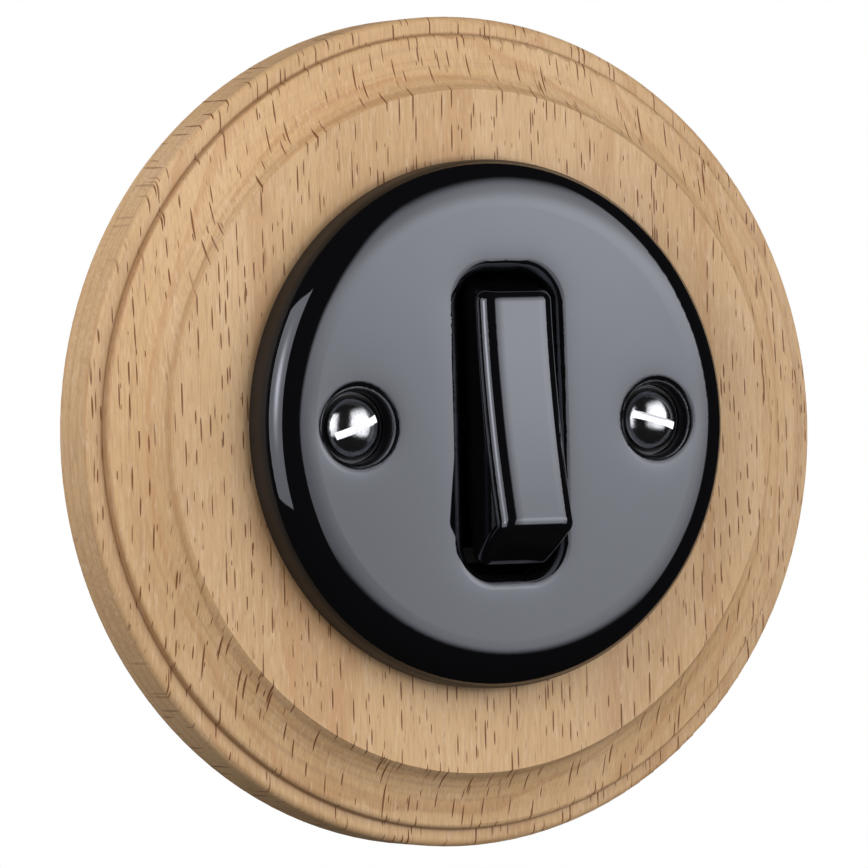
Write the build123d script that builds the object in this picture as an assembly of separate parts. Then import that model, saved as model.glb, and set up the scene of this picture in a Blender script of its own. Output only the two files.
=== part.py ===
from build123d import *
import os
from math import asin, atan2, cos, degrees, hypot, radians, sin, tan

# Everything is modelled lying face up: X to the right, Y up the wall, Z out of the wall.
# The last lines hang it on the wall, so that the front looks along -Y and Z is up.
# All lengths are millimetres, all angles degrees.

# Wooden frame
frame_radius = 60.0
frame_thickness = 15.0
rim_height = 9.0
rim_ring_width = 2.6
rim_edge_round = 1.2
bead_step = 1.45
bead_round = 0.9
face_radius = 49.2
face_band = (0.75, 1.3)
cove_inner_share = (0.155, 0.40)
cove_outer_share = (0.35, 0.77)
back_edge_round = 0.8
frame_bore_radius = 33.0
rebate_depth = 2.2
frame_drop = 1.0
frame_shift = 0.6
hang_gap = 0.2

# Ceramic cover
cover_radius = 38.0
cover_rise = 9.0
cover_face_radius = 31.2
cover_crown = 1.0
cover_shoulder = 2.8
cover_rim_pull = 0.55
cover_foot_round = 0.6
cover_wall = 5.0
cover_cavity_radius = 33.2
cover_cavity_round = 2.0
rocker_slot_width = 15.2
rocker_slot_length = 43.4
rocker_slot_round = 4.8
rocker_slot_lip = 1.9
recess_radius = 5.15
recess_depth = 3.8
recess_lip = 1.5
boss_radius = 6.6
boss_depth = 2.2

# Cover screws, washers and posts
screw_offset = 24.5
screw_head_radius = 4.2
screw_head_edge = 0.8
screw_head_height = 2.8
screw_shank_radius = 1.95
screw_length = 12.0
screw_hole_radius = 2.3
screw_slot_width = 1.1
screw_slot_depth = 1.3
screw_slot_turns = (20.3, -15.6)
screw_tip_chamfer = 0.5
washer_radius = 5.0
washer_thickness = 0.6
washer_edge_round = 0.25
thread_gap = 0.05
post_radius = 3.2
post_gap = 0.9
post_spigot_radius = 2.7
post_rivet_radius = 3.2
post_rivet_height = 0.8
spigot_gap = 0.05

# Support ring
ring_edge = 3.4
ring_thickness = 1.5
box_screw_pitch = 60.0
box_slot_width = 3.6
box_slot_length = 5.2
ring_opening_gap = 0.5

# Switch base
base_radius = 27.0
base_depth = 22.0
turret_width = 27.0
turret_length = 40.0
turret_height = 12.5
turret_corner_round = 2.0
cavity_width = 14.0
cavity_length = 35.6
cavity_depth = 4.5
floor_thickness = 5.0
tower_inner = 8.2
tower_thickness = 3.0
tower_width = 9.0
tower_corner_round = 2.0
tower_top_gap = 0.5
well_width = 11.0
strip_slot_gap = 0.2
base_screw_edge = 0.2
base_screw_y = 12.0
base_screw_radius = 1.5
base_screw_head_radius = 2.6
base_screw_head_height = 1.8
base_screw_length = 9.0
base_screw_slot = (0.8, 0.9)

# Rocker, its carrier and its pin
pivot_setback = 7.4
rocker_tilt = 8.5
rocker_width = 12.3
rocker_front = 13.3
rocker_front_length = 33.6
rocker_base = 3.4
rocker_base_length = 41.8
rocker_skirt = 1.0
rocker_dish = 0.9
rocker_edge_run = 3.2
rocker_edge_fall = 2.45
rocker_edge_pull = 0.55
rocker_end_round = 1.8
rocker_wall = 2.2
rocker_roof = 2.2
carrier_gap = 0.15
carrier_length = 20.0
carrier_foot = 1.5
hub_top_gap = 0.3
hub_side_gap = 0.2
stem_radius = 3.0
stem_length = 12.4
pin_radius = 1.0
pin_fit = 0.02
pin_running_gap = 0.05
pin_proud = 0.4
plunger_radius = 1.5
plunger_reach = 15.4
plunger_length = 7.4
plunger_gap = 0.08
bore_roof = 0.6
spring_wire_radius = 0.2
spring_radius = 1.15
spring_turns = 5.0
spring_end_gap = 0.05

# Contacts and terminals
blade_tilt = 5.1
blade_width = 5.0
blade_length = 26.0
blade_thickness = 1.0
blade_pass_gap = 0.08
fulcrum_radius = 0.3
fulcrum_gap = 0.06
blade_end_margin = 2.0
moving_tip_radius = 1.5
moving_tip_height = 0.9
tip_tail_radius = 0.8
tip_tail_gap = 0.02
fixed_tip_radius = 1.6
fixed_tip_round = 0.4
contact_gap = 0.06
strip_width = 6.0
strip_thickness = 1.0
strip_bend_round = 0.7
arm_margin = 0.9
cavity_end_gap = 0.6
tab_length = 8.5
tab_thickness = 1.2
common_arm_start = 3.0
common_leg = 6.4
clamp_size = 8.0
clamp_thickness = 1.2
clamp_hole_gap = 0.2
terminal_screw_radius = 1.7
terminal_head_radius = 3.1
terminal_head_height = 2.0
terminal_screw_length = 6.4
terminal_slot = (0.9, 1.0)
terminal_hole_gap = 0.4

# Levels that follow from the dimensions above
face_level = frame_thickness + cover_rise
rim_level = face_level - cover_crown
ceiling_level = face_level - cover_wall
recess_floor = face_level - recess_depth
head_base = recess_floor + washer_thickness
boss_level = ceiling_level - boss_depth
post_top = boss_level - post_gap
pivot_level = face_level - pivot_setback
tower_top = ceiling_level - tower_top_gap
hub_radius = ceiling_level - pivot_level - hub_top_gap
ring_radius = (box_screw_pitch + box_slot_length) / 2 + ring_edge
base_screw_x = turret_width / 2 + ring_opening_gap + base_screw_head_radius + base_screw_edge
base_half_width = base_screw_x + base_screw_head_radius + base_screw_edge / 2
floor_top = -cavity_depth
floor_bottom = floor_top - floor_thickness
arm_top = floor_top + strip_thickness
tab_bottom = floor_bottom - tab_thickness
clamp_bottom = tab_bottom - clamp_thickness
contact_offset = blade_length / 2 - blade_end_margin
arm_start = contact_offset - fixed_tip_radius - arm_margin
leg_outer = cavity_length / 2 - cavity_end_gap
blade_axis_level = pivot_level - plunger_reach - blade_pass_gap - blade_thickness
tip_edge = contact_offset + moving_tip_radius
fixed_tip_top = (
    blade_axis_level
    - tip_edge * sin(radians(blade_tilt))
    - moving_tip_height * cos(radians(blade_tilt))
    - contact_gap
)


def ring_of_revolution(outline):
    """Solid turned about Z from an outline drawn as radius and height."""
    return revolve(Plane.XZ * outline, Axis.Z)


def block(x0, x1, y0, y1, z0, z1):
    """Box between two opposite corners."""
    return Pos((x0 + x1) / 2, (y0 + y1) / 2, (z0 + z1) / 2) * Box(x1 - x0, y1 - y0, z1 - z0)


def rod(radius, z0, z1, x=0.0, y=0.0):
    """Cylinder along Z between two levels."""
    return Pos(x, y, (z0 + z1) / 2) * Cylinder(radius, z1 - z0)


def slotted_screw(head_radius, head_edge, head_height, shank_radius, length, slot):
    """Screw standing on its tip side: head above zero, shank below, slot along X."""
    with BuildLine() as edge:
        Line((0, -length), (shank_radius - screw_tip_chamfer, -length))
        Line((shank_radius - screw_tip_chamfer, -length), (shank_radius, screw_tip_chamfer - length))
        Line((shank_radius, screw_tip_chamfer - length), (shank_radius, 0))
        Line((shank_radius, 0), (head_radius, 0))
        Line((head_radius, 0), (head_radius, head_edge))
        dome_rise = head_height - head_edge
        dome_radius = (head_radius**2 + dome_rise**2) / (2 * dome_rise)
        half_way = head_radius / 2
        half_height = head_height - dome_radius + (dome_radius**2 - half_way**2) ** 0.5
        ThreePointArc((head_radius, head_edge), (half_way, half_height), (0, head_height))
        Line((0, head_height), (0, -length))
    screw = ring_of_revolution(make_face(edge.line))
    slot_width, slot_depth = slot
    cut = Box(3 * head_radius, slot_width, 2 * slot_depth)
    return screw - Pos(0, 0, head_height) * cut


# Wooden frame: turned moulding with a flat face, a cove, a small bead and a plain rim
bead_radius = frame_radius - rim_ring_width
bead_level = rim_height + bead_step
frame_slack = (frame_drop**2 + frame_shift**2) ** 0.5
rebate_radius = ring_radius + frame_slack + hang_gap
cove_start = (face_radius + face_band[0], frame_thickness - face_band[1])
cove_end = (bead_radius - bead_round, bead_level)
cove_span = cove_end[0] - cove_start[0]
cove_drop = cove_start[1] - cove_end[1]
cove_pull_in = (
    cove_start[0] + cove_inner_share[0] * cove_span,
    cove_start[1] - cove_inner_share[1] * cove_drop,
)
cove_pull_out = (
    cove_start[0] + cove_outer_share[0] * cove_span,
    cove_start[1] - cove_outer_share[1] * cove_drop,
)
with BuildLine() as moulding:
    Polyline(
        (rebate_radius, 0),
        (frame_radius - back_edge_round, 0),
        (frame_radius, back_edge_round),
        (frame_radius, rim_height - rim_edge_round),
    )
    CenterArc((frame_radius - rim_edge_round, rim_height - rim_edge_round), rim_edge_round, 0, 90)
    Polyline(
        (frame_radius - rim_edge_round, rim_height),
        (bead_radius, rim_height),
        (bead_radius, bead_level - bead_round),
    )
    CenterArc((bead_radius - bead_round, bead_level - bead_round), bead_round, 0, 90)
    Bezier(cove_end, cove_pull_out, cove_pull_in, cove_start)
    Polyline(
        cove_start,
        (face_radius, frame_thickness),
        (frame_bore_radius, frame_thickness),
        (frame_bore_radius, rebate_depth),
        (rebate_radius, rebate_depth),
        (rebate_radius, 0),
    )
wooden_frame = Pos(-frame_shift, -frame_drop, 0) * ring_of_revolution(make_face(moulding.line))

# Ceramic cover: a slightly crowned shell with the rocker slot and two screw recesses
shoulder_level = frame_thickness + cover_shoulder
crown_sphere = (cover_face_radius**2 + cover_crown**2) / (2 * cover_crown)
crown_angle = degrees(asin(cover_face_radius / crown_sphere))
rim_run = cover_rim_pull * (cover_radius - cover_face_radius)
with BuildLine() as shell:
    CenterArc((0, face_level - crown_sphere), crown_sphere, 90 - crown_angle, crown_angle)
    Bezier(
        (cover_face_radius, rim_level),
        (cover_face_radius + rim_run, rim_level - rim_run * tan(radians(crown_angle))),
        (cover_radius, shoulder_level + cover_rim_pull * (rim_level - shoulder_level)),
        (cover_radius, shoulder_level),
    )
    Line((cover_radius, shoulder_level), (cover_radius, frame_thickness + cover_foot_round))
    CenterArc(
        (cover_radius - cover_foot_round, frame_thickness + cover_foot_round),
        cover_foot_round,
        -90,
        90,
    )
    Line((cover_radius - cover_foot_round, frame_thickness), (cover_cavity_radius, frame_thickness))
    inner_corner = ceiling_level - cover_cavity_round
    Line((cover_cavity_radius, frame_thickness), (cover_cavity_radius, inner_corner))
    CenterArc((cover_cavity_radius - cover_cavity_round, inner_corner), cover_cavity_round, 0, 90)
    Line((cover_cavity_radius - cover_cavity_round, ceiling_level), (0, ceiling_level))
    Line((0, ceiling_level), (0, face_level))
seam_turn = 45
ceramic_cover = Rot(Z=seam_turn) * ring_of_revolution(make_face(shell.line))
for side in (-1, 1):
    ceramic_cover += rod(boss_radius, boss_level, ceiling_level, side * screw_offset)
slot_outline = RectangleRounded(rocker_slot_width, rocker_slot_length, rocker_slot_round)
ceramic_cover -= extrude(Plane.XY.offset(boss_level) * slot_outline, face_level - boss_level + cover_wall)
for side in (-1, 1):
    ceramic_cover -= rod(recess_radius, recess_floor, face_level + recess_depth, side * screw_offset)
    ceramic_cover -= rod(screw_hole_radius, boss_level - boss_depth, face_level, side * screw_offset)


def lip_edges(shell, place):
    """Edges of the opening in the crowned face that lies nearest to a place along X."""
    crown_edges = shell.faces().filter_by(GeomType.SPHERE).edges()
    reach = cover_face_radius - recess_lip / 2
    return crown_edges.filter_by(
        lambda edge: abs(edge.center().X - place) < screw_offset / 2
        and all(hypot(corner.X, corner.Y) < reach for corner in edge.vertices())
    )


ceramic_cover = fillet(lip_edges(ceramic_cover, 0), rocker_slot_lip)
for side in (-1, 1):
    ceramic_cover = fillet(lip_edges(ceramic_cover, side * screw_offset), recess_lip)

# Cover screws, washers and threaded posts, one of each at either side
cover_screw = slotted_screw(
    screw_head_radius,
    screw_head_edge,
    screw_head_height,
    screw_shank_radius,
    screw_length,
    (screw_slot_width, screw_slot_depth),
)
left_turn, right_turn = screw_slot_turns
cover_screws = [
    Pos(-screw_offset, 0, head_base) * Rot(Z=left_turn) * cover_screw,
    Pos(screw_offset, 0, head_base) * Rot(Z=right_turn) * cover_screw,
]
washer = rod(washer_radius, 0, washer_thickness)
washer = fillet(washer.edges().group_by(Axis.Z)[-1], washer_edge_round)
washer -= rod(screw_hole_radius, 0, washer_thickness)
cover_screw_washers = [Pos(side * screw_offset, 0, recess_floor) * washer for side in (-1, 1)]
post = (
    rod(post_radius, ring_thickness, post_top)
    + rod(post_spigot_radius, -post_rivet_height, ring_thickness)
    + rod(post_rivet_radius, -post_rivet_height, 0)
)
post -= rod(screw_shank_radius + thread_gap, -2 * post_rivet_height, post_top + post_gap)
cover_posts = [Pos(side * screw_offset, 0, 0) * post for side in (-1, 1)]

# Support ring that screws to the wall box and carries the base and the posts
support_ring = rod(ring_radius, 0, ring_thickness)
opening_size = (turret_width + 2 * ring_opening_gap, turret_length + 2 * ring_opening_gap)
opening_outline = RectangleRounded(*opening_size, turret_corner_round + ring_opening_gap)
support_ring -= extrude(opening_outline, ring_thickness)
box_slot = Rot(Z=90) * SlotOverall(box_slot_length, box_slot_width)
for side in (-1, 1):
    support_ring -= extrude(Pos(0, side * box_screw_pitch / 2) * box_slot, ring_thickness)
    support_ring -= rod(post_spigot_radius + spigot_gap, 0, ring_thickness, side * screw_offset)
    support_ring -= rod(
        base_screw_radius + thread_gap, 0, ring_thickness, side * base_screw_x, side * base_screw_y
    )

# Switch base: round body behind the wall, turret in front of it and two towers for the pin
base_body = rod(base_radius, -base_depth, 0)
base_body &= block(-base_half_width, base_half_width, -base_radius, base_radius, -base_depth, 0)
turret = extrude(RectangleRounded(turret_width, turret_length, turret_corner_round), turret_height)
switch_base = base_body + turret
tower_outer = tower_inner + tower_thickness
tower_outline = Pos((tower_inner + tower_outer) / 2, 0) * Rectangle(tower_thickness, tower_width)
tower = extrude(Plane.XY.offset(turret_height) * tower_outline, tower_top - turret_height)
tower = fillet(tower.edges().filter_by(Axis.X).group_by(Axis.Z)[-1], tower_corner_round)
switch_base += [tower, Rot(Z=180) * tower]
cavity_half = (cavity_width / 2, cavity_length / 2)
switch_base -= block(
    -cavity_half[0], cavity_half[0], -cavity_half[1], cavity_half[1], floor_top, tower_top
)
pin_bore = Pos(0, 0, pivot_level) * Rot(Y=90) * Cylinder(pin_radius + pin_fit, 2 * base_radius)
switch_base -= pin_bore
for side in (-1, 1):
    switch_base -= rod(
        base_screw_radius + thread_gap,
        ring_thickness - base_screw_length - thread_gap,
        0,
        side * base_screw_x,
        side * base_screw_y,
    )

# Terminal places: quarter turns for the strips' X direction, distance of the leg from the middle
terminal_places = {"upper": (90, leg_outer), "lower": (-90, leg_outer), "common": (0, common_leg)}
strip_half = strip_width / 2
well_half = well_width / 2
for turn, leg_out in terminal_places.values():
    leg_in = leg_out - strip_thickness
    clamp_centre = leg_out + clamp_size / 2 - strip_thickness / 2
    leg_slot = block(
        leg_in - strip_slot_gap,
        leg_out + strip_slot_gap,
        -strip_half - strip_slot_gap,
        strip_half + strip_slot_gap,
        floor_bottom,
        floor_top,
    )
    well = block(
        leg_in - 2 * strip_slot_gap, 2 * base_radius, -well_half, well_half, -base_depth, floor_bottom
    )
    screw_well = rod(
        terminal_screw_radius + terminal_hole_gap,
        floor_bottom,
        clamp_bottom + terminal_screw_length + terminal_hole_gap,
        clamp_centre,
    )
    switch_base -= Rot(Z=turn) * (leg_slot + well + screw_well)

# Base screws through the support ring
base_screw = slotted_screw(
    base_screw_head_radius,
    base_screw_head_height / 2,
    base_screw_head_height,
    base_screw_radius,
    base_screw_length,
    base_screw_slot,
)
base_screws = [
    Pos(side * base_screw_x, side * base_screw_y, ring_thickness) * base_screw for side in (-1, 1)
]


def terminal_strip(arm_from, leg_out):
    """Bent strip: arm on the base's floor, leg down through it, tab under it reaching outwards."""
    leg_in = leg_out - strip_thickness
    outline = Polygon(
        (arm_from, floor_top),
        (leg_in, floor_top),
        (leg_in, tab_bottom),
        (leg_in + tab_length, tab_bottom),
        (leg_in + tab_length, floor_bottom),
        (leg_out, floor_bottom),
        (leg_out, arm_top),
        (arm_from, arm_top),
        align=None,
    )
    bends = [
        v
        for v in outline.vertices()
        if (v.X > leg_in and v.Y > floor_top) or (v.X < leg_out and v.Y < floor_bottom)
    ]
    outline = fillet(bends, strip_bend_round)
    strip = extrude(Plane.XZ * outline, strip_half, both=True)
    clamp_centre = leg_out + clamp_size / 2 - strip_thickness / 2
    return strip - rod(terminal_screw_radius + thread_gap, tab_bottom, floor_bottom, clamp_centre)


# Terminals: two that carry a fixed contact and the common one that carries the blade
upper_terminal = Rot(Z=90) * terminal_strip(arm_start, leg_outer)
lower_terminal = Rot(Z=-90) * terminal_strip(arm_start, leg_outer)
fulcrum_wall = block(
    -blade_width / 2, blade_width / 2, -fulcrum_radius, fulcrum_radius, arm_top, blade_axis_level
)
fulcrum_nose = Pos(0, 0, blade_axis_level) * Rot(Y=90) * Cylinder(fulcrum_radius, blade_width)
common_terminal = terminal_strip(-common_arm_start, common_leg) + fulcrum_wall + fulcrum_nose
fixed_tip = rod(fixed_tip_radius, arm_top, fixed_tip_top)
fixed_tip = fillet(fixed_tip.edges().group_by(Axis.Z)[-1], fixed_tip_round)
fixed_contact_tips = [Pos(0, side * contact_offset, 0) * fixed_tip for side in (-1, 1)]

# Clamps and screws of the three terminals
clamp = block(
    -clamp_size / 2, clamp_size / 2, -clamp_size / 2, clamp_size / 2, clamp_bottom, tab_bottom
)
clamp -= rod(terminal_screw_radius + clamp_hole_gap, clamp_bottom, tab_bottom)
terminal_screw = slotted_screw(
    terminal_head_radius,
    terminal_head_height / 2,
    terminal_head_height,
    terminal_screw_radius,
    terminal_screw_length,
    terminal_slot,
)
terminal_screw = Pos(0, 0, clamp_bottom) * Rot(X=180) * terminal_screw
terminal_clamps = []
terminal_screws = []
for turn, leg_out in terminal_places.values():
    place = Rot(Z=turn) * Pos(leg_out + clamp_size / 2 - strip_thickness / 2, 0, 0)
    terminal_clamps.append(place * clamp)
    terminal_screws.append(place * terminal_screw)

# Moving contact: a see-saw blade on the fulcrum with a silver tip under each end
blade = block(
    -blade_width / 2, blade_width / 2, -blade_length / 2, blade_length / 2, 0, blade_thickness
)
blade -= Rot(Y=90) * Cylinder(fulcrum_radius + fulcrum_gap, 2 * blade_width)
moving_tips = []
for side in (-1, 1):
    blade -= rod(tip_tail_radius + tip_tail_gap, 0, blade_thickness, 0, side * contact_offset)
    head = rod(moving_tip_radius, -moving_tip_height, 0, 0, side * contact_offset)
    tail = rod(tip_tail_radius, -moving_tip_height, blade_thickness, 0, side * contact_offset)
    moving_tips.append(head + tail)
blade_rest = Pos(0, 0, blade_axis_level) * Rot(X=blade_tilt)
contact_blade = blade_rest * blade
moving_contact_tips = [blade_rest * tip for tip in moving_tips]

# Rocker cap: a block with sloping ends, cut to a bar whose soft-edged section follows the dish
front_half = rocker_front_length / 2
base_half = rocker_base_length / 2
skirt_level = rocker_base + rocker_skirt
end_slope = (base_half - front_half) / (rocker_front - skirt_level)
peak_level = rocker_front + rocker_edge_run
peak_half = front_half - end_slope * rocker_edge_run
cap_side = Polygon(
    (peak_half, peak_level),
    (base_half, skirt_level),
    (base_half, rocker_base),
    (-base_half, rocker_base),
    (-base_half, skirt_level),
    (-peak_half, peak_level),
    align=None,
)
cap_half = rocker_width / 2
cap = extrude(Plane.YZ * cap_side, cap_half, both=True)
dish_level = rocker_front - rocker_dish
dish_radius = (front_half**2 + rocker_dish**2) / (2 * rocker_dish)
flat_half = cap_half - rocker_edge_run
edge_low = dish_level - rocker_edge_fall
edge_pull = (flat_half + rocker_edge_pull * rocker_edge_run, edge_low + rocker_edge_pull * rocker_edge_fall)
bar_foot = rocker_base - 2 * rocker_dish
with BuildLine() as bar_section:
    Line((-flat_half, dish_level), (flat_half, dish_level))
    Bezier(
        (flat_half, dish_level),
        (edge_pull[0], dish_level),
        (cap_half, edge_pull[1]),
        (cap_half, edge_low),
    )
    Polyline((cap_half, edge_low), (cap_half, bar_foot), (-cap_half, bar_foot), (-cap_half, edge_low))
    Bezier(
        (-cap_half, edge_low),
        (-cap_half, edge_pull[1]),
        (-edge_pull[0], dish_level),
        (-flat_half, dish_level),
    )
dish_axis = Axis((0, 0, dish_level + dish_radius), (1, 0, 0))
half_turn = degrees(atan2(rocker_base_length, 2 * (dish_radius - peak_level)))
bar = revolve(Plane.XZ * make_face(bar_section.line), dish_axis, 2 * half_turn)
cap &= bar.rotate(dish_axis, -half_turn)
end_edges = cap.edges().filter_by(
    lambda edge: edge.center().Z > rocker_base + rocker_skirt / 4
    and abs(edge.center().Y) > peak_half
    and (abs(edge.center().X) > flat_half or edge.center().Z > edge_low)
)
cap = fillet(end_edges, rocker_end_round)
cap_hollow_half = (cap_half - rocker_wall, front_half - rocker_wall)
roof_level = dish_level - rocker_roof
cap -= block(
    -cap_hollow_half[0],
    cap_hollow_half[0],
    -cap_hollow_half[1],
    cap_hollow_half[1],
    rocker_base,
    roof_level,
)

# Rocker carrier: plug inside the cap, hub on the pin and a hollow stem for the plunger
plug_half = cap_hollow_half[0] - carrier_gap
carrier = block(
    -plug_half, plug_half, -carrier_length / 2, carrier_length / 2, carrier_foot, roof_level
)
hub_half = tower_inner - hub_side_gap
carrier += Rot(Y=90) * Cylinder(hub_radius, 2 * hub_half)
carrier += rod(stem_radius, -stem_length, carrier_foot)
carrier -= Rot(Y=90) * Cylinder(pin_radius + pin_running_gap, 4 * hub_half)
bore_top = -pin_radius - pin_running_gap - bore_roof
carrier -= rod(plunger_radius + plunger_gap, -2 * stem_length, bore_top)

# Plunger with a round nose, and the spring behind it
plunger_back = plunger_length - plunger_reach
plunger = rod(plunger_radius, plunger_radius - plunger_reach, plunger_back)
plunger += Pos(0, 0, plunger_radius - plunger_reach) * Sphere(plunger_radius)
spring_low = plunger_back + spring_wire_radius + spring_end_gap
spring_high = bore_top - spring_wire_radius - spring_end_gap
spring_rise = spring_high - spring_low
coil_path = Pos(0, 0, spring_low) * Helix(spring_rise / spring_turns, spring_rise, spring_radius)
coil_start = Plane(origin=coil_path @ 0, z_dir=coil_path % 0)
spring = sweep(coil_start * Circle(spring_wire_radius), coil_path, is_frenet=True)

# Pivot pin across the two towers
pin_half = tower_outer + pin_proud
pivot_pin = Pos(0, 0, pivot_level) * Rot(Y=90) * Cylinder(pin_radius, 2 * pin_half)

# The rocker rests with its upper end pressed in
rocker_rest = Pos(0, 0, pivot_level) * Rot(X=-rocker_tilt)

pieces = {
    "wooden_frame": wooden_frame,
    "ceramic_cover": ceramic_cover,
    "cover_screws": Compound([piece.solid() for piece in cover_screws]),
    "cover_screw_washers": Compound([piece.solid() for piece in cover_screw_washers]),
    "cover_posts": Compound([piece.solid() for piece in cover_posts]),
    "support_ring": support_ring,
    "switch_base": switch_base,
    "base_screws": Compound([piece.solid() for piece in base_screws]),
    "upper_terminal": upper_terminal,
    "lower_terminal": lower_terminal,
    "common_terminal": common_terminal,
    "fixed_contact_tips": Compound([piece.solid() for piece in fixed_contact_tips]),
    "terminal_clamps": Compound([piece.solid() for piece in terminal_clamps]),
    "terminal_screws": Compound([piece.solid() for piece in terminal_screws]),
    "contact_blade": contact_blade,
    "moving_contact_tips": Compound([piece.solid() for piece in moving_contact_tips]),
    "rocker": rocker_rest * cap,
    "rocker_carrier": rocker_rest * carrier,
    "plunger": rocker_rest * plunger,
    "plunger_spring": rocker_rest * spring,
    "pivot_pin": pivot_pin,
}

# Hang everything on the wall and write one file for each piece
os.makedirs("parts", exist_ok=True)
on_wall = Rot(X=90)
for name, piece in pieces.items():
    export_step(on_wall * piece, f"parts/{name}.step")
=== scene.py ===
import math

import bpy
from mathutils import Matrix, Vector


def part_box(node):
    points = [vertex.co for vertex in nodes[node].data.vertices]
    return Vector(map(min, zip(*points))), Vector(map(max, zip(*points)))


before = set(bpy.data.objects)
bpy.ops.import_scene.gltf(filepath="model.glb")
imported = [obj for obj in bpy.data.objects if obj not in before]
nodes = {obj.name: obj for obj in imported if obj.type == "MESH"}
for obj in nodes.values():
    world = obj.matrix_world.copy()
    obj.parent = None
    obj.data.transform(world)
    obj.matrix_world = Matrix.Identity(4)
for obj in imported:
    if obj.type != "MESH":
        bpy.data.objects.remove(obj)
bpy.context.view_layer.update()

# Places on the front, in metres, seen from the front as X and Z
screw_low, screw_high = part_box("cover_screws")
head_radius = (screw_high[2] - screw_low[2]) / 2
screw_x = screw_high[0] - head_radius
washer_low, washer_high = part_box("cover_screw_washers")
washer_radius = (washer_high[2] - washer_low[2]) / 2
wood_low, wood_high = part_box("wooden_frame")
wood_centre = ((wood_low[0] + wood_high[0]) / 2, (wood_low[2] + wood_high[2]) / 2)
cover_low, cover_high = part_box("ceramic_cover")
cover_radius = (cover_high[2] - cover_low[2]) / 2

# Mouth of the rocker's slot in the cover: half width, half length and corner
slot_mouth = (0.0095, 0.0236, 0.0067)

# Screw recesses in the cover: radii of the mouth, of the lip, of the wall's top and of its foot
recess_mouth = 0.00665
recess_lip = 0.0062
recess_wall = 0.00582
recess_inside = 0.0051

# Sag of the glaze towards the slot and the recesses: steepest slope, reach in metres
slot_sag = (0.11, 0.0016)
recess_sag = (0.09, 0.0014)
recess_wall_slope = 1.5

# Black glaze: colour, mirror, height of its waves in metres, roughness from best to worst
glaze_black = (0.0025, 0.0025, 0.003, 1)
glaze_ior = 1.9
glaze_tint = (0.88, 0.905, 1.0, 1)
glaze_wave = 0.00006
glaze_rough = (0.02, 0.05)
recess_rough = 0.25
rocker_thickening = 0.06

# The cover's glaze runs thin and matt towards its foot: distances from the wall, roughness, mirror
matt_below, glossy_above = 0.0192, 0.0201
foot_rough = 0.5
foot_mirror, full_mirror = 0.27, 0.5

# Growth rings of the wood: tilt, bow, wander in metres, rings to the metre
ring_tilt, ring_bow, ring_wander, rings_to_metre = 0.05, 1.7, 0.006, 420.0

# Colours of the wood, as display values of 0 to 255
beech_tones = ((0.3, (197, 158, 114)), (0.5, (204, 167, 123)), (0.72, (211, 176, 135)))
late_wood = (181, 131, 86)
layer_brown = (156, 121, 92)
fibre_brown = (165, 127, 92)
fibre_pale = (219, 192, 162)
ray_brown = (114, 66, 34)
# painted shade colour, for the groove and the step of the moulding
groove_shade_brown = (120, 78, 46)
# painted shadow colour, for the contact shadow at the cover's foot
foot_shadow_brown = (60, 38, 24)

# Wood rays in metres: column gap, rise and depth of a place, half sizes, share left out, shift
ray_layers = (
    (0.00155, 0.0050, 0.0080, (0.00013, 0.0019, 0.0036), 0.05, 0.0),
    (0.0034, 0.0080, 0.0100, (0.00015, 0.0026, 0.0042), 0.20, 5.3),
    (0.0011, 0.0030, 0.0050, (0.00009, 0.0008, 0.0016), 0.55, 2.1),
)

# Lines of painted shade along the groove and the step of the turned moulding: radius, half width,
# strength
groove_shade_lines = ((0.05745, 0.0004, 0.55), (0.0498, 0.0005, 0.15))

# Painted contact shadow on the wood around the cover's foot: width, strength
foot_shadow_lines = ((0.0035, 0.06), (0.001, 0.35))

# The painted shade lies on the wood's front only: depths where it is whole and where it has ended
shade_full_depth, shade_gone_depth = -0.004, -0.002


# Small helpers

def link(obj):
    bpy.context.scene.collection.objects.link(obj)
    return obj


def srgb(r, g, b):
    """Linear colour, with alpha, from display values of 0 to 255."""
    def one(c):
        c /= 255
        return c / 12.92 if c <= 0.04045 else ((c + 0.055) / 1.055) ** 2.4
    return (one(r), one(g), one(b), 1.0)


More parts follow.
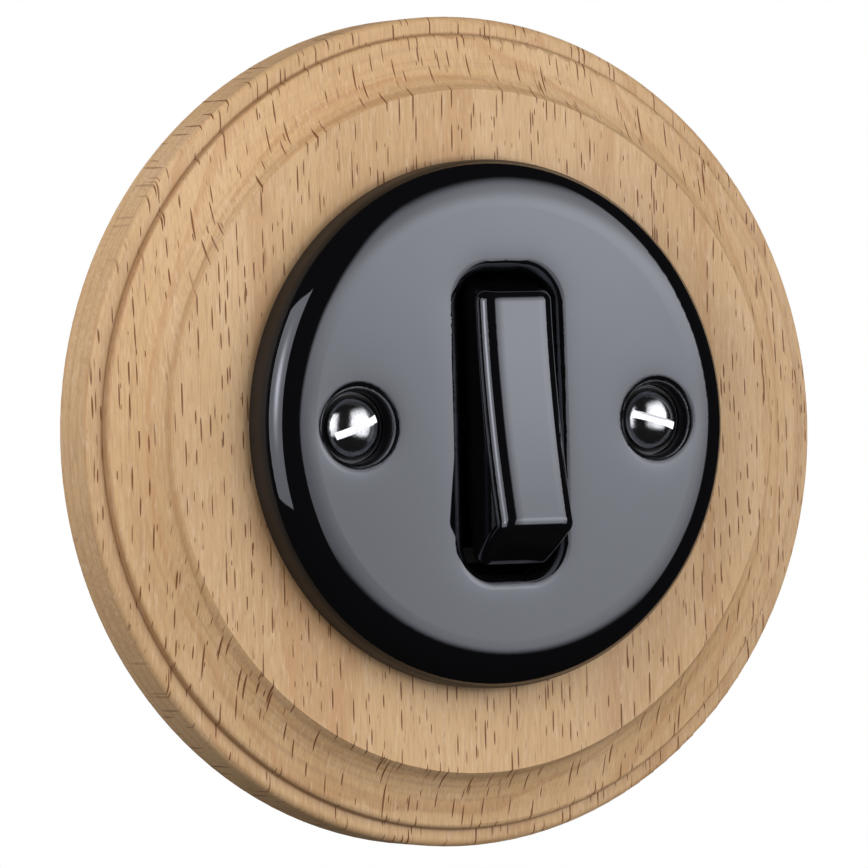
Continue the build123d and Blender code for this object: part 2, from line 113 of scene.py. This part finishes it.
class Graph:
    """Short way to write a material's nodes."""

    def __init__(self, tree):
        self.tree = tree

    def add(self, kind, **settings):
        node = self.tree.nodes.new(kind)
        for key, value in settings.items():
            setattr(node, key, value)
        return node

    def put(self, socket, value):
        if isinstance(value, bpy.types.NodeSocket):
            self.tree.links.new(value, socket)
        else:
            socket.default_value = value

    def math(self, operation, a, b=0.0):
        node = self.add("ShaderNodeMath", operation=operation)
        self.put(node.inputs[0], a)
        self.put(node.inputs[1], b)
        return node.outputs[0]

    def vector(self, operation, a, b=(0, 0, 0)):
        node = self.add("ShaderNodeVectorMath", operation=operation)
        self.put(node.inputs[0], a)
        self.put(node.inputs[1], b)
        return node.outputs["Value" if operation == "LENGTH" else "Vector"]

    def where(self, scale=(1, 1, 1)):
        """Position in the object's own frame, in metres, stretched by scale."""
        place = self.add("ShaderNodeTexCoord").outputs["Object"]
        return self.vector("MULTIPLY", place, scale)

    def parts(self, vector):
        """X, Y and Z of a vector."""
        node = self.add("ShaderNodeSeparateXYZ")
        self.put(node.inputs[0], vector)
        return node.outputs

    def noise(self, scale, detail=3.0, rough=0.5):
        """Soft noise, with scale in waves to the metre along each axis."""
        node = self.add("ShaderNodeTexNoise")
        self.put(node.inputs["Vector"], self.where(scale))
        node.inputs["Scale"].default_value = 1.0
        node.inputs["Detail"].default_value = detail
        node.inputs["Roughness"].default_value = rough
        return node.outputs["Fac"]

    def cells(self, dimensions, socket, value, randomness):
        """Nearest of a field of scattered points one unit apart."""
        node = self.add("ShaderNodeTexVoronoi", voronoi_dimensions=dimensions, feature="F1")
        self.put(node.inputs[socket], value)
        node.inputs["Scale"].default_value = 1.0
        node.inputs["Randomness"].default_value = randomness
        return node.outputs

    def ramp(self, value, stops):
        node = self.add("ShaderNodeValToRGB")
        while len(node.color_ramp.elements) < len(stops):
            node.color_ramp.elements.new(0.5)
        for element, (at, colour) in zip(node.color_ramp.elements, stops):
            element.position = at
            element.color = colour
        self.put(node.inputs[0], value)
        return node.outputs["Color"]

    def span(self, value, low, high, out_low=0.0, out_high=1.0):
        """Smooth step from one range to another."""
        node = self.add("ShaderNodeMapRange", clamp=True, interpolation_type="SMOOTHSTEP")
        self.put(node.inputs["Value"], value)
        node.inputs["From Min"].default_value = low
        node.inputs["From Max"].default_value = high
        node.inputs["To Min"].default_value = out_low
        node.inputs["To Max"].default_value = out_high
        return node.outputs["Result"]

    def mix(self, factor, a, b):
        node = self.add("ShaderNodeMix", data_type="RGBA")
        self.put(node.inputs[0], factor)
        self.put(node.inputs[6], a)
        self.put(node.inputs[7], b)
        return node.outputs[2]

    def bump(self, height, distance, strength=1.0):
        node = self.add("ShaderNodeBump")
        node.inputs["Strength"].default_value = strength
        node.inputs["Distance"].default_value = distance
        self.put(node.inputs["Height"], height)
        return node.outputs["Normal"]

    def screw_distance(self):
        """Distance from the axis of the nearer cover screw."""
        sides = self.vector("ABSOLUTE", self.where((1, 0, 1)))
        x, _, z = self.parts(sides)
        off_x = self.math("SUBTRACT", x, screw_x)
        squares = self.math("ADD", self.math("MULTIPLY", off_x, off_x), self.math("MULTIPLY", z, z))
        return self.math("SQRT", squares)


def new_material(name, **values):
    mat = bpy.data.materials.new(name)
    mat.use_nodes = True
    shader = mat.node_tree.nodes["Principled BSDF"]
    for key, value in values.items():
        shader.inputs[key.replace("_", " ")].default_value = value
    return mat, Graph(mat.node_tree), shader.inputs


# Glaze

def sagging(g, away, steepest, reach):
    """Height of a glaze that sinks towards a mouth, by the distance away from it."""
    outside = g.math("EXPONENT", g.math("DIVIDE", g.math("MAXIMUM", away, 0.0), -reach))
    inside = g.math("MULTIPLY", g.math("MINIMUM", away, 0.0), steepest)
    return g.math("SUBTRACT", inside, g.math("MULTIPLY", outside, steepest * reach))


def mouth_height(g):
    """Soft fall of the cover's glaze into the rocker's slot and the two screw recesses."""
    half_width, half_length, corner = slot_mouth
    sides = g.vector("ABSOLUTE", g.where((1, 0, 1)))
    past = g.vector("SUBTRACT", sides, (half_width - corner, 0, half_length - corner))
    slot_away = g.math("SUBTRACT", g.vector("LENGTH", g.vector("MAXIMUM", past)), corner)
    from_screw = g.screw_distance()
    recess_away = g.math("SUBTRACT", from_screw, recess_mouth)
    height = sagging(g, slot_away, *slot_sag)
    height = g.math("ADD", height, sagging(g, recess_away, *recess_sag))

    # inside the lip the sag ends, and the wall falls to its foot
    for radius, slope in ((recess_lip, -recess_sag[0]), (recess_wall, recess_wall_slope)):
        within = g.math("MAXIMUM", g.math("MINIMUM", from_screw, radius), recess_inside)
        height = g.math("ADD", height, g.math("MULTIPLY", within, slope))
    return height


def glaze(name, mouths=False, thickening=0.0):
    """Black glaze: cool, mirror-smooth, a little wavy, and thicker downwards by a given slope."""
    mat, g, s = new_material(name, Base_Color=glaze_black, IOR=glaze_ior)
    s["Specular Tint"].default_value = glaze_tint
    height = g.math("MULTIPLY", g.noise((60, 60, 60), detail=2.0), glaze_wave)
    if thickening:
        upwards = g.parts(g.where())[2]
        height = g.math("SUBTRACT", height, g.math("MULTIPLY", upwards, thickening))
    if mouths:
        height = g.math("ADD", height, mouth_height(g))
    g.put(s["Normal"], g.bump(height, 1.0))
    rough = g.span(g.noise((900, 900, 900), detail=1.0), 0.35, 0.75, *glaze_rough)
    if mouths:
        screw_ring = g.span(g.screw_distance(), recess_wall - 0.0002, recess_wall, recess_rough, 0.0)
        rough = g.math("MAXIMUM", rough, screw_ring)
        out = g.math("MULTIPLY", g.parts(g.where())[1], -1.0)
        matt = g.span(out, matt_below, glossy_above, foot_rough, 0.0)
        rough = g.math("MAXIMUM", rough, matt)
        mirror = g.span(out, matt_below, glossy_above, foot_mirror, full_mirror)
        g.put(s["Specular IOR Level"], mirror)
    g.put(s["Roughness"], rough)
    return mat


# Wood

def rays(g, place, sway, layer):
    """Mask of the wood's rays: thin upright lens-shaped sheets that stand in columns."""
    x, y, z = place
    gap, rise, into, half, left_out, shift = layer
    across = g.math("ADD", g.math("DIVIDE", g.math("ADD", x, sway), gap), shift)
    column = g.cells("1D", "W", across, randomness=0.65)
    off_x = g.math("MULTIPLY", g.math("SUBTRACT", across, column["W"]), gap / half[0])
    flat = g.add("ShaderNodeCombineXYZ")
    g.put(flat.inputs[0], g.math("DIVIDE", z, rise))
    g.put(flat.inputs[1], g.math("DIVIDE", y, into))
    column_start = g.vector("MULTIPLY", column["Color"], (97, 61, 0))
    flat_at = g.vector("ADD", flat.outputs[0], column_start)
    sheet = g.cells("2D", "Vector", flat_at, randomness=0.85)
    off = g.vector("SUBTRACT", flat_at, sheet["Position"])
    off = g.vector("MULTIPLY", off, (rise / half[1], into / half[2], 0))
    luck = g.parts(sheet["Color"])
    size = g.span(luck[1], 0.0, 1.0, 0.55, 1.15)
    along = g.math("DIVIDE", g.vector("LENGTH", off), size)
    reach = g.math("ADD", g.math("MULTIPLY", off_x, off_x), g.math("MULTIPLY", along, along))
    strength = g.span(luck[0], left_out, left_out + 0.3)
    return g.math("MULTIPLY", g.span(reach, 0.6, 1.1, 1.0, 0.0), strength)


def beech():
    """Flat-sawn beech: rings lie nearly parallel to the face, rays show as short dark dashes."""
    mat, g, s = new_material("beech", Roughness=0.5)
    s["Specular IOR Level"].default_value = 0.25
    x, y, z = g.parts(g.where())

    # growth rings: layers in depth that bow and wander
    depth = g.math("ADD", y, g.math("MULTIPLY", x, ring_tilt))
    depth = g.math("ADD", depth, g.math("MULTIPLY", g.math("MULTIPLY", x, x), ring_bow))
    depth = g.math("ADD", depth, g.math("MULTIPLY", g.noise((26, 12, 5)), ring_wander))
    ring = g.math("FRACT", g.math("MULTIPLY", depth, rings_to_metre))
    late = g.math("MULTIPLY", g.span(ring, 0.62, 0.93), g.span(ring, 0.93, 1.0, 1.0, 0.0))
    tones = [(at, srgb(*tone)) for at, tone in beech_tones]
    colour = g.ramp(g.noise((60, 30, 9), rough=0.55), tones)
    colour = g.mix(g.math("MULTIPLY", late, 0.4), colour, srgb(*late_wood))

    # fine layers that show as lines along the slopes, and short fibres
    layers = g.noise((25, 3200, 14), detail=2.0, rough=0.6)
    colour = g.mix(g.span(layers, 0.45, 0.75, 0.0, 0.32), colour, srgb(*layer_brown))
    fibre = g.noise((4600, 1500, 280), rough=0.65)
    colour = g.mix(g.span(fibre, 0.42, 0.75, 0.0, 0.5), colour, srgb(*fibre_brown))
    pale = g.noise((2600, 900, 330), detail=2.0, rough=0.6)
    colour = g.mix(g.span(pale, 0.5, 0.8, 0.0, 0.5), colour, srgb(*fibre_pale))

    # rays, weaker where the surface turns sideways
    sway = g.math("MULTIPLY", g.noise((40, 20, 25), detail=2.0), 0.0016)
    total = 0.0
    for layer in ray_layers:
        total = g.math("MAXIMUM", total, rays(g, (x, y, z), sway, layer))
    facing = g.parts(g.add("ShaderNodeNewGeometry").outputs["Normal"])
    soften = g.span(g.math("ABSOLUTE", facing[0]), 0.55, 0.95, 0.95, 0.15)
    colour = g.mix(g.math("MULTIPLY", total, soften), colour, srgb(*ray_brown))

    # painted shade in the groove and along the step of the moulding, and a painted contact shadow at
    # the cover's foot
    front = g.span(y, shade_full_depth, shade_gone_depth, 1.0, 0.0)
    off = g.vector("SUBTRACT", g.where((1, 0, 1)), (wood_centre[0], 0, wood_centre[1]))
    radius = g.vector("LENGTH", off)
    for at, half_width, strength in groove_shade_lines:
        near = g.math("ABSOLUTE", g.math("SUBTRACT", radius, at))
        amount = g.math("MULTIPLY", g.span(near, 0.0, half_width, strength, 0.0), front)
        colour = g.mix(amount, colour, srgb(*groove_shade_brown))
    # painted contact shadow on the wood around the cover's foot
    from_axis = g.vector("LENGTH", g.where((1, 0, 1)))
    from_foot = g.math("ABSOLUTE", g.math("SUBTRACT", from_axis, cover_radius))
    for width, strength in foot_shadow_lines:
        amount = g.math("MULTIPLY", g.span(from_foot, 0.0, width, strength, 0.0), front)
        colour = g.mix(amount, colour, srgb(*foot_shadow_brown))
    g.put(s["Base Color"], colour)
    height = g.math("SUBTRACT", fibre, g.math("MULTIPLY", total, 0.8))
    g.put(s["Normal"], g.bump(height, 0.00006, 0.4))
    return mat


# Metals and plastics

def metal(name, colour, rough, marks=400, depth=0.000003, pits=0.0):
    """Bare metal with uneven polish, marks to the metre, and a share of darker pits."""
    mat, g, s = new_material(name, Base_Color=(*colour, 1), Metallic=1.0)
    wear = g.noise((marks, marks, marks), detail=4.0, rough=0.6)
    if pits:
        speck = g.noise((6000, 6000, 6000), detail=2.0, rough=0.7)
        dark = tuple(c * 0.35 for c in colour)
        g.put(s["Base Color"], g.mix(g.span(speck, 0.62 - pits, 0.7 - pits), (*colour, 1), (*dark, 1)))
    g.put(s["Roughness"], g.span(wear, 0.3, 0.7, rough * 0.75, rough * 1.35))
    g.put(s["Normal"], g.bump(wear, depth))
    return mat


def plastic(name, colour, rough, grain=1500, depth=0.000012, gloss=0.5):
    """Moulded plastic with a fine grain, grain to the metre."""
    mat, g, s = new_material(name, Roughness=rough)
    s["Specular IOR Level"].default_value = gloss
    marks = g.noise((grain, grain, grain), rough=0.6)
    dark = tuple(c * 0.86 for c in colour)
    g.put(s["Base Color"], g.ramp(marks, [(0.3, (*dark, 1)), (0.7, (*colour, 1))]))
    g.put(s["Normal"], g.bump(marks, depth))
    return mat


def washer_black():
    """Matt black washer, rubbed shiny along its outer edge, with a painted highlight of light grey on
    the very edge.
    """
    mat, g, s = new_material("washer_black")
    s["Specular IOR Level"].default_value = 0.35
    blur = 0.0001
    shiny_from = washer_radius - 3 * blur
    rubbed = g.span(g.screw_distance(), shiny_from - blur, shiny_from, 0.75, 0.12)
    g.put(s["Roughness"], rubbed)
    # painted highlight: the washer's very edge turns light grey
    screw_ring = g.span(g.screw_distance(), washer_radius - 2 * blur, washer_radius - blur)
    black, painted_highlight_grey = (0.004, 0.004, 0.0045, 1), (0.3, 0.3, 0.31, 1)
    g.put(s["Base Color"], g.mix(screw_ring, black, painted_highlight_grey))
    g.put(s["Normal"], g.bump(g.noise((1500, 1500, 1500)), 0.000008))
    return mat


zinc = metal("zinc_steel", (0.62, 0.63, 0.64), 0.36, depth=0.000001)
steel = metal("spring_steel", (0.5, 0.5, 0.5), 0.25)
brass = metal("brass", (0.78, 0.56, 0.24), 0.3)
copper = metal("copper", (0.8, 0.42, 0.28), 0.28)
silver = metal("silver", (0.85, 0.84, 0.82), 0.25)
black_nylon = plastic("black_nylon", (0.012, 0.012, 0.012), 0.45)
white_nylon = plastic("white_nylon", (0.75, 0.74, 0.7), 0.45)

finishes = {
    "wooden_frame": beech(),
    "ceramic_cover": glaze("cover_glaze", mouths=True),
    "rocker": glaze("rocker_glaze", thickening=rocker_thickening),
    "cover_screws": metal("nickel", (0.62, 0.62, 0.64), 0.12, marks=4200, depth=0.000012, pits=0.05),
    "cover_screw_washers": washer_black(),
    "cover_posts": brass,
    "support_ring": zinc,
    "switch_base": plastic("black_phenolic", (0.014, 0.012, 0.01), 0.6, grain=700, gloss=0.2),
    "base_screws": zinc,
    "upper_terminal": brass,
    "lower_terminal": brass,
    "common_terminal": brass,
    "fixed_contact_tips": silver,
    "terminal_clamps": zinc,
    "terminal_screws": zinc,
    "contact_blade": copper,
    "moving_contact_tips": silver,
    "rocker_carrier": black_nylon,
    "plunger": white_nylon,
    "plunger_spring": steel,
    "pivot_pin": steel,
}
for name, finish in finishes.items():
    slots = nodes[name].data.materials
    slots.clear()
    slots.append(finish)


# Camera: turned to the photograph's angle, then moved in its own plane to the photograph's framing

image_size = 868
pixels_per_metre = 6874.0
pixels_aside, pixels_up = -7.16, 2.14
azimuth, elevation, roll = math.radians(-29.15), math.radians(0.27), math.radians(-1.38)
distance = 1.2
sensor = 36.0
aim = Vector((wood_centre[0], 0, wood_centre[1]))


def direction(az, el):
    """Unit vector from the object, azimuth 0 straight out of the wall, both in radians."""
    return Vector((math.sin(az) * math.cos(el), -math.cos(az) * math.cos(el), math.sin(el)))


back = direction(azimuth, elevation)
level_right = (-back).cross(Vector((0, 0, 1))).normalized()
level_up = level_right.cross(-back)
right = math.cos(roll) * level_right + math.sin(roll) * level_up
up = math.cos(roll) * level_up - math.sin(roll) * level_right
aside = right * pixels_aside + up * pixels_up
place = aim + back * distance - aside / pixels_per_metre
camera = link(bpy.data.objects.new("camera", bpy.data.cameras.new("camera")))
camera.data.sensor_width = sensor
camera.data.lens = sensor * pixels_per_metre * distance / image_size
camera.data.clip_start = 0.01
camera.matrix_world = Matrix((right, up, back)).transposed().to_4x4()
camera.matrix_world.translation = place
bpy.context.scene.camera = camera


# Studio

def softbox(name, az, el, far, wide, high, radiance, colour=(0.97, 0.98, 1.0)):
    """Rectangular lamp facing the object, degrees and metres, with a given brightness of its face."""
    data = bpy.data.lights.new(name, "AREA")
    data.shape = "RECTANGLE"
    data.size = wide
    data.size_y = high
    data.energy = radiance * wide * high * math.pi
    data.color = colour
    lamp = link(bpy.data.objects.new(name, data))
    out = direction(math.radians(az), math.radians(el))
    lamp.location = out * far
    lamp.rotation_mode = "QUATERNION"
    lamp.rotation_quaternion = out.to_track_quat("Z", "Y")
    return lamp


def glow(lamp, base, slope, spots, edges=()):
    """Uneven brightness over a lamp's face: slope right and upwards, spots, soft edges."""
    data = lamp.data
    data.use_nodes = True
    g = Graph(data.node_tree)
    on_face = g.parts(g.add("ShaderNodeNewGeometry").outputs["Parametric"])
    from_middle = [g.math("SUBTRACT", on_face[axis], 0.5) for axis in (0, 1)]
    level = base
    for axis in (0, 1):
        level = g.math("ADD", level, g.math("MULTIPLY", from_middle[axis], slope[axis]))
    for peak, spot_at, spot_size in spots:
        far = 0.0
        for axis, extent in enumerate((data.size, data.size_y)):
            off = g.math("SUBTRACT", g.math("MULTIPLY", from_middle[axis], extent), spot_at[axis])
            off = g.math("DIVIDE", off, spot_size[axis])
            far = g.math("ADD", far, g.math("MULTIPLY", off, off))
        spot = g.math("EXPONENT", g.math("MULTIPLY", far, -1.0))
        level = g.math("ADD", level, g.math("MULTIPLY", spot, peak))
    for inwards, dark, full in edges:
        steps = [g.math("MULTIPLY", from_middle[axis], inwards[axis]) for axis in (0, 1)]
        level = g.math("MULTIPLY", level, g.span(g.math("ADD", *steps), dark, full))
    g.put(data.node_tree.nodes["Emission"].inputs["Strength"], level)


# Key lamp, seen in the glaze. Spots: brightness, place from the middle and half size in metres.
# Edges: which way is inwards, and where along it the lamp is dark and full, in shares of its face.
key = softbox("key", 29, 16, far=0.9, wide=1.37, high=1.95, radiance=1.0)
key_spots = ((1.37, (0.345, -0.031), (0.8, 0.194)), (1.043, (0.077, -0.253), (0.357, 0.6)))
key_edges = (
    ((1.0, -0.6), -0.454, -0.340),
    ((-1.0, 0.0), -0.498, -0.429),
    ((0.0, 1.0), -0.446, -0.312),
    ((0.0, -1.0), -0.364, -0.163),
)
glow(key, 1.064, (0.122, 0.656), key_spots, key_edges)

# Lamps that light the wood and the back, unseen in the glaze, and one that the left edge mirrors
soft = softbox("soft", 29, 16, far=1.0, wide=1.52, high=2.17, radiance=0.38)
soft.visible_glossy = False
left = softbox("left", -63, 9, far=0.7, wide=0.49, high=0.88, radiance=1.0)
left_spots = ((4.0, (0.03, 0.05), (0.07, 0.15)),)
glow(left, 1.3, (0.0, 0.3), left_spots)
fill = softbox("fill", -66, 26, far=0.42, wide=0.3, high=0.36, radiance=2.4)
fill.visible_glossy = False
for name, az in (("rear_right", 150), ("rear_left", -150)):
    rear = softbox(name, az, 25, far=1.2, wide=1.0, high=1.0, radiance=1.5)
    rear.visible_glossy = False

# White behind the object, dim where it lights the object or is mirrored from elsewhere
world = bpy.data.worlds.new("studio")
bpy.context.scene.world = world
world.use_nodes = True
g = Graph(world.node_tree)
sky = world.node_tree.nodes["Background"]
path = g.add("ShaderNodeLightPath").outputs
away = g.parts(g.add("ShaderNodeTexCoord").outputs["Generated"])
behind_from, behind_to = 0.9, 0.97
behind = g.span(away["Y"], behind_from, behind_to)
mirrored = g.math("MAXIMUM", path["Is Glossy Ray"], path["Is Transmission Ray"])
white = g.math("MAXIMUM", path["Is Camera Ray"], g.math("MULTIPLY", mirrored, behind))
dim_light, dim_mirror, full_white = (0.05, 0.05, 0.05, 1), (0.012, 0.012, 0.012, 1), (1, 1, 1, 1)
dim = g.mix(mirrored, dim_light, dim_mirror)
g.put(sky.inputs["Color"], g.mix(white, dim, full_white))
sky.inputs["Strength"].default_value = 1.0

floor_half, floor_level = 0.5, -0.9
floor_mesh = bpy.data.meshes.new("floor")
floor_signs = ((-1, -1), (1, -1), (1, 1), (-1, 1))
floor_corners = [(x * floor_half, y * floor_half, floor_level) for x, y in floor_signs]
floor_mesh.from_pydata(floor_corners, [], [(0, 1, 2, 3)])
floor_mesh.materials.append(new_material("floor", Base_Color=(0.8, 0.8, 0.79, 1), Roughness=0.8)[0])
floor = link(bpy.data.objects.new("floor", floor_mesh))
floor.visible_glossy = False

bpy.context.scene.view_settings.view_transform = "Standard"
